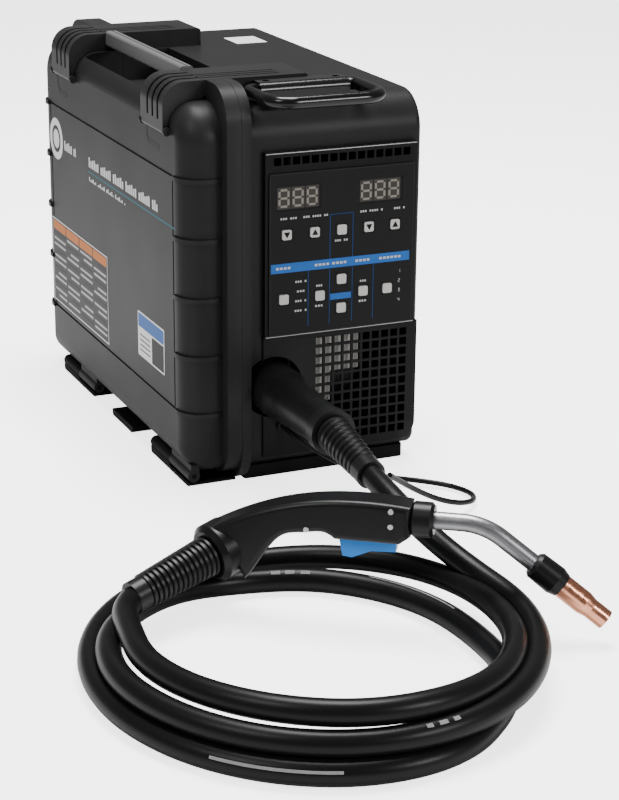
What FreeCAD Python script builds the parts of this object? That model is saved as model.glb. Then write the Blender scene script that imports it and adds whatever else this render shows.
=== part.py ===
"""Portable suitcase wire feeder with its welding gun, as a parametric FreeCAD document.

Frame: +Z up, the front of the case looks along -Y, the door is on the -X side.
The origin is the middle of the case's base face, on the surface it stands on.  Millimetres.
"""
import FreeCAD, Part
import math
import os
from FreeCAD import Placement, Rotation, Vector

doc = FreeCAD.newDocument("wire_feeder")
sheet = doc.addObject("Spreadsheet::Sheet", "dims")

# ---------------------------------------------------------------- driving dimensions
CELLS = {
    # case
    "case_width": 280, "body_length": 510, "flange_length": 540, "foot_height": 15,
    "shell_top": 425, "flange_top": 446, "wall": 4, "corner_radius": 42, "edge_radius": 28,
    "bottom_radius": 16, "main_edge_radius": 7, "hollow_radius": 12,
    "parting_offset": 80, "door_flange": 17, "main_flange": 11, "flange_corner": 40,
    "flange_inset": 9, "seal_gap": 0.4, "groove_high": 346, "groove_low": 83, "groove_width": 3,
    "groove_depth": 1.6, "rib_height": 5, "rib_proud": 2.5, "rib_reach": 34,
    # crosswise lugs, latches and the carry handle
    "lug_width": 70, "front_lug_y": -210, "rear_lug_y": 116, "lug_end": 24, "lug_left": 100,
    "swing_clearance": 3.5, "well_depth": 36, "well_margin": 5, "well_right": 22, "well_left": 128,
    "handle_thick": 18, "handle_width": 15, "latch_gap": 0.6, "latch_pin_radius": 1.6,
    "latch_out": 7, "latch_low": 394, "ear_thick": 4,
    # hinge at the foot of the door
    "hinge_inset": 10.5, "hinge_z": 12, "knuckle_radius": 7, "hinge_pin_radius": 3,
    "running_gap": 0.05, "knuckle_length": 62, "knuckle_gap": 0.6, "front_hinge_y": -187,
    "middle_foot_y": -60, "rear_hinge_y": 145, "arm_height": 8, "pad_height": 4.4,
    # bail handle
    "bail_radius": 7, "bail_half_width": 59, "bail_reach": 82, "bail_y": -226, "bail_z": 435,
    "bail_corner": 24, "bail_centre": 6, "bracket_depth": 31, "bracket_height": 19,
    # front panels
    "panel_y": -262, "panel_left": -50, "panel_right": 131, "panel_low": 166, "panel_high": 373,
    "panel_depth": 7, "sheet": 1.5, "grille_low": 26, "grille_right": 138, "vent_hole": 8.6,
    "vent_pitch": 11, "grille_pitch": 11.45, "grille_x": 17.5, "grille_z": 40,
    "grille_columns": 10, "grille_rows": 11, "vent_holes": 15,
    "overlay_thick": 2, "overlay_left": -46, "overlay_right": 128, "overlay_low": 168,
    "overlay_high": 350, "button_size": 11, "button_travel": 1.2, "button_gap": 0.4,
    "display_width": 52, "display_height": 27, "display_z": 322.5, "display_x": 37.5,
    "display_spread": 49,
    # gun connection
    "gun_x": -38, "gun_z": 108, "gun_hole_radius": 35, "plug_radius": 29, "plug_length": 150,
    "pin_radius": 8, "pin_length": 35,
    # wire drive and spool support
    "bulkhead_x": -18, "bulkhead_thick": 3, "drive_y": -150, "roll_radius": 18, "roll_width": 12,
    "roll_spread": 25, "shaft_radius": 5, "motor_radius": 38, "motor_length": 105, "arm_thick": 10,
    "spool_y": 84, "spool_z": 225, "spindle_radius": 12, "hub_radius": 25, "hub_length": 92,
    # rear connections
    "rear_low": 60, "rear_high": 300, "rear_left": -36, "rear_right": 110, "gas_thread_radius": 7.94,
    "stud_radius": 17,
    # welding gun and its cable
    "cable_radius": 12, "lead_radius": 3, "coil_long": 232, "coil_short": 214, "coil_x": -189,
    "coil_y": -712, "coil_hole_long": 164, "coil_hole_short": 143, "coil_hole_x": -200,
    "coil_hole_y": -736, "coil_height": 48, "gun_angle": -35.3, "handle_half": 17, "nut_radius": 17,
    "neck_radius": 8.5, "collar_radius": 29,
}
for row, (alias, number) in enumerate(CELLS.items(), start=1):
    sheet.set("A%d" % row, alias)
    sheet.set("B%d" % row, str(number))
    sheet.setAlias("B%d" % row, alias)
doc.recompute()

nodes = []


def val(alias):
    """The number in the sheet cell with this alias."""
    return float(sheet.get(alias))


def link(text):
    """An expression with every sheet alias in it pointed at the sheet."""
    words = []
    word = ""
    for letter in str(text) + " ":
        if letter.isalnum() or letter == "_":
            word += letter
            continue
        words.append("dims." + word if word in CELLS else word)
        words.append(letter)
        word = ""
    return "".join(words).strip()


def bind(obj, **props):
    for prop, text in props.items():
        obj.setExpression(prop, link(text))


def place(obj, spot, rotation=None):
    if rotation is not None:
        obj.Placement = Placement(Vector(), rotation)
    for axis, text in zip("xyz", spot):
        obj.setExpression("Placement.Base." + axis, link(text))
    return obj


def box(name, size, spot):
    obj = doc.addObject("Part::Box", name)
    bind(obj, Length=size[0], Width=size[1], Height=size[2])
    return place(obj, spot)


ALONG = {
    "x": Rotation(Vector(0, 1, 0), 90),
    "y": Rotation(Vector(1, 0, 0), -90),
    "z": Rotation(),
    "-y": Rotation(Vector(1, 0, 0), 90),
    "-x": Rotation(Vector(0, 1, 0), -90),
}


def rod(name, radius, length, spot, axis="z"):
    obj = doc.addObject("Part::Cylinder", name)
    bind(obj, Radius=radius, Height=length)
    return place(obj, spot, ALONG[axis])


def fuse(name, *parts):
    obj = doc.addObject("Part::MultiFuse", name)
    obj.Shapes = list(parts)
    obj.Refine = True
    return obj


def cut(name, base, *tools):
    obj = doc.addObject("Part::Cut", name)
    obj.Base = base
    obj.Tool = tools[0] if len(tools) == 1 else fuse(name + "_tools", *tools)
    obj.Refine = True
    return obj


def group(name, *parts):
    """Separate solids that share one node."""
    obj = doc.addObject("Part::Compound", name)
    obj.Links = list(parts)
    return obj


def common(name, first, second):
    obj = doc.addObject("Part::MultiCommon", name)
    obj.Shapes = [first, second]
    return obj


def round_edges(name, base, radius, wanted):
    """Fillet of every edge of base for which wanted(edge) is true."""
    doc.recompute()
    obj = doc.addObject("Part::Fillet", name)
    obj.Base = base
    size = val(radius) if isinstance(radius, str) else radius
    edges = base.Shape.Edges
    obj.Edges = [(n, size, size) for n, edge in enumerate(edges, start=1) if wanted(edge)]
    return obj


def along(axis):
    """Edges that run along one axis."""
    def wanted(edge):
        direction = edge.Vertexes[-1].Point - edge.Vertexes[0].Point
        return abs(abs(direction[axis]) - direction.Length) < 1e-6 and direction.Length > 1e-6
    return wanted


def on_plane(axis, at):
    """Edges that lie in one plane across an axis."""
    def wanted(edge):
        bounds = edge.BoundBox
        low = (bounds.XMin, bounds.YMin, bounds.ZMin)[axis]
        high = (bounds.XMax, bounds.YMax, bounds.ZMax)[axis]
        return abs(low - at) < 1e-3 and abs(high - at) < 1e-3
    return wanted


def rounded_box(name, size, spot, radius, axis):
    """A box whose four edges along one axis are rounded."""
    return round_edges(name, box(name + "_block", size, spot), radius, along(axis))


def keep(node, obj):
    """Make obj the sub-part that is written as this node."""
    obj.Label = node
    nodes.append((node, obj))
    return obj


def keep_shape(node, shape, placement=None):
    """A sub-part whose shape is made from curves that the primitives cannot give."""
    obj = doc.addObject("Part::Feature", node + "_shape")
    obj.Shape = shape
    if placement is not None:
        obj.Placement = placement
    return keep(node, obj)


# ---------------------------------------------------------------- case shells
BODY_HEIGHT = "(shell_top - foot_height)"
LUGS = {"front": "front_lug_y", "rear": "rear_lug_y"}
WELL_Y = "(front_lug_y + lug_width + well_margin)"
WELL_LENGTH = "(rear_lug_y - front_lug_y - lug_width - 2 * well_margin)"


def end_rounds(name, base, inset=0):
    """Rounds the edges that run across the case: large at the top, small at the base."""
    top = round_edges(name + "_top", base, val("corner_radius") - inset,
                      lambda edge: along(0)(edge) and edge.BoundBox.ZMin > val("shell_top") - inset - 1)
    return round_edges(name + "_base", top, val("bottom_radius") - inset,
                       lambda edge: along(0)(edge) and edge.BoundBox.ZMax < val("foot_height") + inset + 1)


def inside(name, left, depth):
    """The space between the walls, with its long edges rounded to match."""
    block = box(name + "_block", (depth, "body_length - 2 * wall", BODY_HEIGHT + " - 2 * wall"),
                (left, "-body_length / 2 + wall", "foot_height + wall"))
    return end_rounds(name, block, val("wall"))


def shell(side, left, depth, outer_face, edge_radius):
    """A hollow tray, open at the parting plane, with rounded outer edges."""
    skin = end_rounds(side + "_skin", box(side + "_block", (depth, "body_length", BODY_HEIGHT),
                                          (left, "-body_length / 2", "foot_height")))
    skin = round_edges(side + "_skin_soft", skin, edge_radius, on_plane(0, outer_face))
    inner_left = left if side == "main" else left + " + wall"
    inner_face = outer_face - math.copysign(val("wall"), outer_face)
    hollow = round_edges(side + "_hollow_soft", inside(side + "_hollow", inner_left, depth + " - wall"),
                         val(edge_radius) - val("wall"), on_plane(0, inner_face))
    return skin, hollow


def flange(side, left, depth, low):
    """The lip that runs round a shell at the parting plane."""
    lip = rounded_box(side + "_lip", (depth, "flange_length", "flange_top - %s" % low),
                      (left, "-flange_length / 2", low), "flange_corner", 0)
    return cut(side + "_flange", lip, inside(side + "_window", left, depth))


def flange_notch(name, left, width):
    """Room under the lugs and the handle, where the lip stops at the shell's top."""
    return box(name, (width, "rear_lug_y + lug_width - front_lug_y + 2 * latch_gap", "flange_top"),
               (left, "front_lug_y - latch_gap", "shell_top"))


def hand_well(name, left, width):
    return box(name, (width, WELL_LENGTH, "well_depth + flange_top"),
               (left, WELL_Y, "shell_top - well_depth"))


def well_liner(name, left, width):
    """The solid under and round the hand well."""
    return box(name, (width, WELL_LENGTH + " + 2 * well_margin", "well_depth + wall - 1"),
               (left, WELL_Y + " - well_margin", "shell_top - well_depth - wall"))


LUG_HIGH = "(flange_top - shell_top)"


def lug(side):
    """A crosswise ridge moulded on the main shell, cut with long grooves; the latch closes against it."""
    start = LUGS[side]
    foot = box("lug_foot_" + side, ("lug_end + parting_offset", "lug_width", LUG_HIGH),
               ("-parting_offset", start, "shell_top"))
    overhang = box("lug_over_" + side, ("lug_left - parting_offset + 1", "lug_width",
                                        LUG_HIGH + " - swing_clearance"),
                   ("-lug_left", start, "shell_top + swing_clearance"))
    body = round_edges("lug_soft_" + side, fuse("lug_raw_" + side, foot, overhang), 7,
                       lambda edge: on_plane(0,
                               val("lug_end"))(edge) and edge.BoundBox.ZMax > val("shell_top") + 1)
    slots = [box("lug_slot_%s_%d" % (side, n), ("lug_end + lug_left - 30", "3", "4"),
                 ("-lug_left - 1", start + " + %d" % (12 + 10 * n), "flange_top - 4")) for n in range(3)]
    return cut("lug_cut_" + side, body, *slots)


main_skin, main_hollow = shell("main", "-parting_offset", "case_width / 2 + parting_offset",
                               val("case_width") / 2, "main_edge_radius")
main_walls = cut("main_walls", main_skin, main_hollow)
main_lip = flange("main", "-parting_offset", "main_flange", "0")
main_liner = well_liner("main_liner", "-parting_offset", "parting_offset - well_right + wall")
main_solid = fuse("main_solid", main_walls, main_lip, main_liner)
front_opening = box("front_opening", ("panel_right - panel_left - 8", "4 * wall",
                                      "panel_high - grille_low - 14"),
                    ("panel_left + 4", "-body_length / 2 - wall", "grille_low + 8"))
rear_opening = box("rear_opening", ("rear_right - rear_left - 12", "4 * wall", "rear_high - rear_low - 12"),
                   ("rear_left + 6", "body_length / 2 - 2 * wall", "rear_low + 6"))
gun_opening = rod("gun_opening", "gun_hole_radius", "6 * wall",
                  ("gun_x", "-body_length / 2 - 3 * wall", "gun_z"), "y")
main_case = cut("main_case", main_solid,
                hand_well("main_well", "-parting_offset - 1", "parting_offset - well_right + 1"),
                flange_notch("main_notch", "-parting_offset - 1", "main_flange + 1"),
                front_opening, rear_opening, gun_opening)
keep("main_shell", fuse("main_with_lugs", main_case, *[lug(side) for side in LUGS]))

DOOR_LEFT = "-case_width / 2"
DOOR_DEPTH = "(case_width / 2 - parting_offset - seal_gap)"
door_skin, door_hollow = shell("door", DOOR_LEFT, DOOR_DEPTH, -val("case_width") / 2, "edge_radius")


def corner_ribs():
    """Horizontal ribs that wrap the two upright corners of the door."""
    ribs = []
    for level in range(5):
        height = "groove_low + %d * (groove_high - groove_low) / 4 - rib_height / 2" % level
        band = rounded_box("rib_%d" % level, (DOOR_DEPTH + " + rib_proud", "body_length + 2 * rib_proud",
                "rib_height"),
                           (DOOR_LEFT + " - rib_proud", "-body_length / 2 - rib_proud", height),
                           "edge_radius", 2)
        ribs.append(band)
    ends = fuse("rib_ends", *[box("rib_end_%d" % n,
                                  (DOOR_DEPTH + " + rib_proud - door_flange", "rib_reach", "shell_top"),
                                  (DOOR_LEFT + " - rib_proud", start, "0"))
                              for n, start in enumerate(("-body_length / 2 - rib_proud",
                                                         "body_length / 2 + rib_proud - rib_reach"))])
    return common("corner_ribs", fuse("all_ribs", *ribs), ends)


door_solid = fuse("door_solid", door_skin, corner_ribs())
door_walls = cut("door_walls", door_solid, door_hollow)
door_lip = flange("door", "-parting_offset - door_flange", "door_flange - seal_gap", "flange_inset")
door_liner = common("door_liner_trim", door_skin, well_liner("door_liner", "-well_left - wall",
        "well_left + wall - parting_offset - seal_gap"))
door_full = fuse("door_full", door_walls, door_lip, door_liner)
door_cuts = [hand_well("door_well", "-well_left", "well_left - parting_offset + 1"),
             flange_notch("door_notch", "-parting_offset - door_flange - 1", "door_flange + 2")]
for groove in ("groove_high", "groove_low"):
    door_cuts.append(box(groove + "_cut", ("groove_depth", "body_length - 2 * rib_reach", "groove_width"),
                         (DOOR_LEFT, "-body_length / 2 + rib_reach", groove)))
for n, start in enumerate(("-body_length / 2 + rib_reach", "body_length / 2 - rib_reach - groove_width")):
    door_cuts.append(box("column_cut_%d" % n, ("groove_depth", "groove_width", "groove_high - groove_low"),
                         (DOOR_LEFT, start, "groove_low")))
door_case = cut("door_case", door_full, *door_cuts)


HINGE_X = "(hinge_inset - case_width / 2)"


def hinge_barrel(name, start):
    return rod(name + "_barrel", "knuckle_radius", "knuckle_length", (HINGE_X, start, "hinge_z"), "y")


def pin_hole(name, start, length):
    return rod(name, "hinge_pin_radius + running_gap", length, (HINGE_X, start, "hinge_z"), "y")


door_barrels = []
door_holes = []
for side in ("front", "rear"):
    start = "%s_hinge_y - knuckle_length - knuckle_gap" % side
    door_barrels.append(hinge_barrel("door_%s" % side, start))
    door_barrels.append(box("door_web_%s" % side, ("knuckle_radius * 1.4", "knuckle_length",
            "knuckle_radius + 6"),
                            (HINGE_X + " - knuckle_radius / 2", start, "hinge_z")))
    door_holes.append(pin_hole("door_%s_hole" % side, start, "knuckle_length"))
latch_ears = []
for side, lug in LUGS.items():
    for n, start in enumerate((lug + " - ear_thick - latch_gap", lug + " + lug_width + latch_gap")):
        spot = (DOOR_LEFT + " - latch_out / 2", start, "latch_low")
        latch_ears.append(rod("ear_%s_%d" % (side, n), "latch_out - 2.3", "ear_thick", spot, "y"))
        door_holes.append(rod("ear_hole_%s_%d" % (side, n), "latch_pin_radius + running_gap", "ear_thick",
                              spot, "y"))
door_fittings = cut("outer_fittings", fuse("door_fittings", *(door_barrels + latch_ears)), door_hollow)
keep("door_shell", cut("door_finished", fuse("door_with_fittings", door_case, door_fittings), *door_holes))

# ---------------------------------------------------------------- hinge and feet
ARM_LENGTH = "(case_width / 2 - parting_offset - 4)"
arms = []
pins = []


def foot_block(name, size, spot):
    """A block whose ends curve up from the floor."""
    return round_edges(name + "_soft", box(name, size, spot), val("pad_height") - 0.2,
                       lambda edge: along(0)(edge) and edge.BoundBox.ZMax < 1)


for side in ("front", "rear"):
    start = side + "_hinge_y"
    arm = foot_block("arm_" + side, (ARM_LENGTH, "knuckle_length", "arm_height"),
                     ("4 - case_width / 2", start, "0"))
    post = foot_block("post_" + side, ("knuckle_radius * 1.4", "knuckle_length", "hinge_z"),
                      (HINGE_X + " - knuckle_radius * 0.7", start, "0"))
    pad = foot_block("pad_" + side, (ARM_LENGTH, "knuckle_length + knuckle_gap + 4", "pad_height"),
                     ("4 - case_width / 2", start + " - knuckle_length - knuckle_gap", "0"))
    arm = fuse("arm_solid_" + side, arm, post, pad, hinge_barrel("base_" + side, start))
    arms.append(cut("arm_bored_" + side, arm, pin_hole("base_hole_" + side, start, "knuckle_length")))
    pins.append(rod("pin_" + side, "hinge_pin_radius", "2 * knuckle_length + knuckle_gap",
                    (HINGE_X, start + " - knuckle_length - knuckle_gap", "hinge_z"), "y"))
arms.append(foot_block("middle_foot_block", (ARM_LENGTH, "knuckle_length + 12", "arm_height"),
                ("4 - case_width / 2", "middle_foot_y", "0")))
keep("hinge_arms", group("arm_group", *arms))
keep("hinge_pins", group("pin_group", *pins))
rails = []
for side, start, length in (("front", "front_hinge_y - knuckle_length", "2 * knuckle_length"),
                            ("middle", "middle_foot_y", "knuckle_length + 12"),
                            ("rear", "rear_hinge_y - knuckle_length", "2 * knuckle_length")):
    rails.append(round_edges("rail_soft_" + side, box(
        "rail_" + side, ("case_width / 2 + parting_offset - main_flange - 12", length, "foot_height"),
        ("main_flange - parting_offset", start, "0")), 4, along(2)))
keep("skid_rails", group("rail_group", *rails))

# ---------------------------------------------------------------- lugs, latches and handles
def latch(side):
    """The cap that wraps the door's top edge; it turns down about the pin at its lower edge."""
    gap = val("latch_gap")
    outer = -val("case_width") / 2 - val("latch_out")
    inner = -val("case_width") / 2 - gap
    low = val("latch_low")
    top = val("flange_top")
    bend = val("edge_radius") + gap
    centre = Vector(-val("case_width") / 2 + val("edge_radius"), 0, val("shell_top") - val("edge_radius"))
    seam = -val("lug_left") - gap
    diagonal = math.sqrt(0.5)
    rise = 26
    points = [Vector(seam, 0, centre.z + bend + 1), Vector(seam, 0, top), Vector(outer + rise, 0, top)]
    shoulder = Vector(outer + rise * (1 - diagonal), 0, top - rise * (1 - diagonal))
    outside = Vector(outer, 0, top - rise)
    bottom = Vector(outer, 0, low)
    hook = Vector((outer + inner) / 2, 0, low - (inner - outer) / 2)
    inside = Vector(inner, 0, low)
    rise_start = Vector(inner, 0, centre.z)
    middle = Vector(centre.x - bend * diagonal, 0, centre.z + bend * diagonal)
    crown = Vector(centre.x, 0, centre.z + bend)
    edges = [Part.LineSegment(points[0], points[1]), Part.LineSegment(points[1], points[2]),
             Part.Arc(points[2], shoulder, outside), Part.LineSegment(outside, bottom),
             Part.Arc(bottom, hook, inside), Part.LineSegment(inside, rise_start),
             Part.Arc(rise_start, middle, crown), Part.LineSegment(crown, Vector(seam, 0, crown.z)),
             Part.LineSegment(Vector(seam, 0, crown.z), points[0])]
    face = Part.Face(Part.Wire([edge.toShape() for edge in edges]))
    start = val(LUGS[side])
    width = val("lug_width")
    solid = face.extrude(Vector(0, width, 0))
    solid.translate(Vector(0, start, 0))
    for n in range(3):
        slot = Part.makeBox(60, 5, 60, Vector(outer - 1, start + 13 + 16 * n, centre.z + 8))
        core = face.extrude(Vector(0, 5, 0))
        core.translate(Vector(0, start + 13 + 16 * n, 0))
        shrunk = core.copy()
        shrunk.translate(Vector(5, 0, -5))
        solid = solid.cut(core.common(slot).cut(shrunk.fuse(Part.makeBox(60, 5, 60,
                Vector(outer + 24, start + 13 + 16 * n, centre.z - 40)))))
    reach = gap + val("ear_thick")
    pin = Part.makeCylinder(val("latch_pin_radius"), width + 2 * reach,
                            Vector(-val("case_width") / 2 - val("latch_out") / 2, start - reach, low),
                            Vector(0, 1, 0))
    return solid.fuse(pin).removeSplitter()


for side in LUGS:
    keep_shape("latch_" + side, latch(side))
handle_bar = box("handle_bar", ("handle_width", "rear_lug_y - front_lug_y - lug_width", "handle_thick"),
                 ("-lug_left", "front_lug_y + lug_width", "flange_top + 3 - handle_thick"))
handle_groove = box("handle_groove", ("1.6", "rear_lug_y - front_lug_y - lug_width", "1.2"),
                    ("-lug_left + handle_width / 2", "front_lug_y + lug_width", "flange_top + 1.8"))
keep("carry_handle", cut("handle_grooved", round_edges("handle_soft", handle_bar, 3, along(1)),
                         handle_groove))

bail_left = val("bail_centre") - val("bail_half_width")
bail_right = val("bail_centre") + val("bail_half_width")
bail_front = val("bail_y") - val("bail_reach")


def bail():
    """A round bar bent to a U; its turned-in ends run into the ends of the bracket."""
    level = val("bail_z")
    turn = val("bail_corner")
    hook = 12
    left = bail_left + val("bail_radius")
    right = bail_right - val("bail_radius")
    corners = [(Vector(left - hook, val("bail_y"), level), hook),
               (Vector(left - hook, bail_front, level), turn),
               (Vector(right + hook, bail_front, level), turn),
               (Vector(right + hook, val("bail_y"), level), hook)]
    start = Vector(left + 6, val("bail_y"), level)
    end = Vector(right - 6, val("bail_y"), level)
    spots = [start] + [corner for corner, _ in corners] + [end]
    edges = []
    last = start
    for n, (corner, bend) in enumerate(corners, start=1):
        into = Vector(spots[n] - spots[n - 1]).normalize()
        out = Vector(spots[n + 1] - spots[n]).normalize()
        first = corner - into * bend
        middle = corner + (out - into).normalize() * bend * (math.sqrt(2) - 1)
        edges += [Part.LineSegment(last, first), Part.Arc(first, middle, corner + out * bend)]
        last = corner + out * bend
    edges.append(Part.LineSegment(last, end))
    path = Part.Wire([edge.toShape() for edge in edges])
    ring = Part.Wire(Part.makeCircle(val("bail_radius"), start, Vector(-1, 0, 0)))
    return path.makePipeShell([ring], True, True)


keep_shape("bail_handle", bail())
BRACKET_LEFT = "(bail_centre - bail_half_width + bail_radius)"
bracket_block = round_edges("bracket_soft", box(
    "bracket_block", ("2 * (bail_half_width - bail_radius)", "bracket_depth", "bracket_height"),
    (BRACKET_LEFT, "bail_y - bracket_depth / 2", "shell_top")), 9,
    lambda edge: along(0)(edge) and edge.BoundBox.ZMin > val("shell_top") + 1)
bolt_holes = [rod("bolt_hole_%d" % n, "4", "8", (x, "bail_y", "shell_top + bracket_height - 7"))
              for n, x in enumerate(("bail_centre - 41", "bail_centre + 41"))]
for name, start in (("left", BRACKET_LEFT), ("right",
        BRACKET_LEFT + " + 2 * (bail_half_width - bail_radius) - 6")):
    bolt_holes.append(rod("bail_socket_" + name, "bail_radius", "6", (start, "bail_y", "bail_z"), "x"))
bracket = bracket_block
keep("bail_bracket", cut("bracket_drilled", bracket, *bolt_holes))
keep("bracket_bolts", group("bolts", *[rod("bolt_%d" % n, "3.9", "5",
        (x, "bail_y", "shell_top + bracket_height - 7"))
                                       for n, x in enumerate(("bail_centre - 41", "bail_centre + 41"))]))

# ---------------------------------------------------------------- front panels and controls
panel_box = box("panel_box", ("panel_right - panel_left", "panel_depth", "panel_high - panel_low"),
                ("panel_left", "panel_y", "panel_low"))
panel_cuts = [box("panel_inside", ("panel_right - panel_left - 2 * sheet", "panel_depth",
                                   "panel_high - panel_low - 2 * sheet"),
                  ("panel_left + sheet", "panel_y + sheet", "panel_low + sheet"))]
for n in range(int(val("vent_holes"))):
    start = "panel_left + 10 + %d * vent_pitch" % n
    panel_cuts.append(box("vent_%d" % n, ("vent_hole", "panel_depth", "vent_hole"),
                          (start, "panel_y - 1", "panel_high - vent_hole - 6")))
    panel_cuts.append(box("vent_top_%d" % n, ("vent_hole", "panel_depth - 2 * sheet - 1", "5"),
                          (start, "panel_y + sheet + 1", "panel_high - 3")))

DISPLAYS = {"left": "display_x - display_spread", "right": "display_x + display_spread"}
BUTTONS = {
    "voltage_down": (-25.6, 282), "voltage_up": (7.6, 282), "speed_down": (72.6, 282),
    "speed_up": (104.4, 282), "in_use": (40, 282), "process": (-28.7, 209.5),
    "trigger_hold": (14.4, 209.5), "purge": (40.2, 226), "jog": (40.2, 193),
    "trigger_select": (66.7, 209.5), "memory": (96.3, 209.5),
}


def window(name, grow):
    """The opening for one display, grown on every side."""
    return [box("%s_%s" % (name, side), ("display_width + 2 * %s" % grow, "4 * overlay_thick + 2",
                                         "display_height + 2 * %s" % grow),
                (centre + " - display_width / 2 - %s" % grow, "panel_y - overlay_thick - 1",
                 "display_z - display_height / 2 - %s" % grow)) for side, centre in DISPLAYS.items()]


def button_holes(name):
    return [box("%s_%s" % (name, key), ("button_size + 2 * button_gap", "4 * overlay_thick + 2",
                                        "button_size + 2 * button_gap"),
                ("%g - button_size / 2 - button_gap" % x, "panel_y - overlay_thick - 1",
                 "%g - button_size / 2 - button_gap" % z)) for key, (x, z) in BUTTONS.items()]


keep("control_panel", cut("panel_cut", panel_box, *(panel_cuts + window("panel_window", "0.3")
                                                    + button_holes("panel_hole"))))
overlay = rounded_box("overlay_plate", ("overlay_right - overlay_left", "overlay_thick",
                                        "overlay_high - overlay_low"),
                      ("overlay_left", "panel_y - overlay_thick", "overlay_low"), 6, 1)
keep("control_overlay", cut("overlay_cut", overlay, *(window("overlay_window", "0.3")
                                                      + button_holes("overlay_hole"))))
keep("displays", group("display_group", *[
    box("display_block_" + side, ("display_width", "panel_depth + overlay_thick", "display_height"),
        (centre + " - display_width / 2", "panel_y - overlay_thick + 0.6", "display_z - display_height / 2"))
    for side, centre in DISPLAYS.items()]))
for key, (x, z) in BUTTONS.items():
    keep("button_" + key, rounded_box("button_block_" + key,
                                      ("button_size", "overlay_thick + 5", "button_size"),
                                      ("%g - button_size / 2" % x, "panel_y - overlay_thick - button_travel",
                                       "%g - button_size / 2" % z), 2, 1))
keep("circuit_board", box("board_plate", ("overlay_right - overlay_left - 12", "1.6",
        "overlay_high - overlay_low - 16"),
                          ("overlay_left + 6", "panel_y + panel_depth + 0.6", "overlay_low + 8")))

grille = box("grille_plate", ("grille_right - panel_left", "2 * sheet", "panel_low - grille_low"),
             ("panel_left", "panel_y + panel_depth - 2 * sheet", "grille_low"))
grille = round_edges("grille_soft", grille, 20,
                     lambda edge: along(1)(edge) and edge.BoundBox.XMin > 0 and edge.BoundBox.ZMax < val("grille_low") + 1)
grille_cuts = [rod("grille_gun_hole", "gun_hole_radius", "20", ("gun_x", "panel_y", "gun_z"), "y")]
for column in range(int(val("grille_columns"))):
    for row in range(int(val("grille_rows"))):
        grille_cuts.append(box("mesh_%d_%d" % (column, row), ("vent_hole", "8", "vent_hole"),
                               ("grille_x + %d * grille_pitch - vent_hole / 2" % column, "panel_y + 2",
                                "grille_z + %d * grille_pitch - vent_hole / 2" % row)))
socket = rod("trigger_socket", "6", "4", ("gun_x + 10", "panel_y", "gun_z - 46"), "y")
keep("grille_panel", cut("grille_cut", fuse("grille_with_socket", grille, socket), *grille_cuts))
tray_high = box("tray_high", ("5 * grille_pitch", "2", "4 * grille_pitch"),
                ("grille_x - grille_pitch / 2", "panel_y + panel_depth + wall + 2",
                 "grille_z + 6.6 * grille_pitch"))
tray_low = box("tray_low", ("2 * grille_pitch", "2", "3 * grille_pitch + 1"),
               ("grille_x - grille_pitch / 2", "panel_y + panel_depth + wall + 2",
                "grille_z + 3.6 * grille_pitch"))
keep("meter_tray", fuse("tray_steps", tray_high, tray_low))

# ---------------------------------------------------------------- inside the case
keep("bulkhead", rounded_box("bulkhead_plate", ("bulkhead_thick", "body_length - 2 * wall - 1",
                                                "shell_top - foot_height - well_depth - 2 * wall - 1"),
                             ("bulkhead_x", "-body_length / 2 + wall + 0.5", "foot_height + wall"),
                             "hollow_radius", 0))
casting = box("casting_block", ("14", "124", "118"), ("bulkhead_x - 14", "drive_y - 62", "gun_z - 56"))
shaft_seats = []
for n, side in enumerate((-1, 1)):
    shaft_seats.append(rod("roll_seat_%d" % n, "shaft_radius + running_gap", "20",
                           ("bulkhead_x - 15", "drive_y + %d * roll_spread" % side, "gun_z - roll_radius"),
                           "x"))
shaft_seats.append(rod("arm_seat", "4 + running_gap", "20",
                       ("bulkhead_x - 15", "drive_y + roll_spread + 24", "gun_z + 30"), "x"))
keep("drive_casting", cut("casting_bored", casting, *shaft_seats))
keep("drive_motor", fuse("motor_solid",
                         rod("motor_can", "motor_radius", "motor_length",
                             ("bulkhead_x + bulkhead_thick", "drive_y", "gun_z - 24"), "x"),
                         rod("motor_cap", "motor_radius - 8", "8",
                             ("bulkhead_x + bulkhead_thick + motor_length", "drive_y", "gun_z - 24"), "x")))


def roll(name, y, z):
    """A grooved drive roll on its own stub shaft."""
    wheel = rod(name + "_wheel", "roll_radius - 0.6", "roll_width", ("bulkhead_x - 16 - roll_width", y, z),
                "x")
    groove = cut(name + "_groove", rod(name + "_band", "roll_radius + 1", "1.6",
                                       ("bulkhead_x - 17 - roll_width / 2", y, z), "x"),
                 rod(name + "_core", "roll_radius - 1.4", "1.6", ("bulkhead_x - 17 - roll_width / 2", y, z),
                     "x"))
    return cut(name + "_grooved", wheel, groove)


ARM_X = "(bulkhead_x - 26 - arm_thick - roll_width / 2)"
UPPER_Z = "gun_z + roll_radius"
arm_bores = []
for side, sign in (("front", -1), ("rear", 1)):
    y = "drive_y + %d * roll_spread" % sign
    shaft = rod("lower_shaft_" + side, "shaft_radius", "20 + roll_width",
                ("bulkhead_x - 20 - roll_width", y, "gun_z - roll_radius"), "x")
    keep("drive_roll_" + side, fuse("lower_roll_" + side, roll("lower_" + side, y, "gun_z - roll_radius"),
                                    shaft))
    pin = rod("upper_shaft_" + side, "shaft_radius", "arm_thick + 5 + roll_width", (ARM_X, y, UPPER_Z), "x")
    keep("pressure_roll_" + side, fuse("upper_roll_" + side, roll("upper_" + side, y, UPPER_Z), pin))
    arm_bores.append(rod("arm_bore_" + side, "shaft_radius + running_gap", "arm_thick + 2",
                         (ARM_X + " - 1", y, UPPER_Z), "x"))
arm_bores.append(rod("knob_bore", "3 + running_gap", "14",
                     (ARM_X + " + arm_thick + 8", "drive_y", "gun_z + 25"), "z"))
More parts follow.
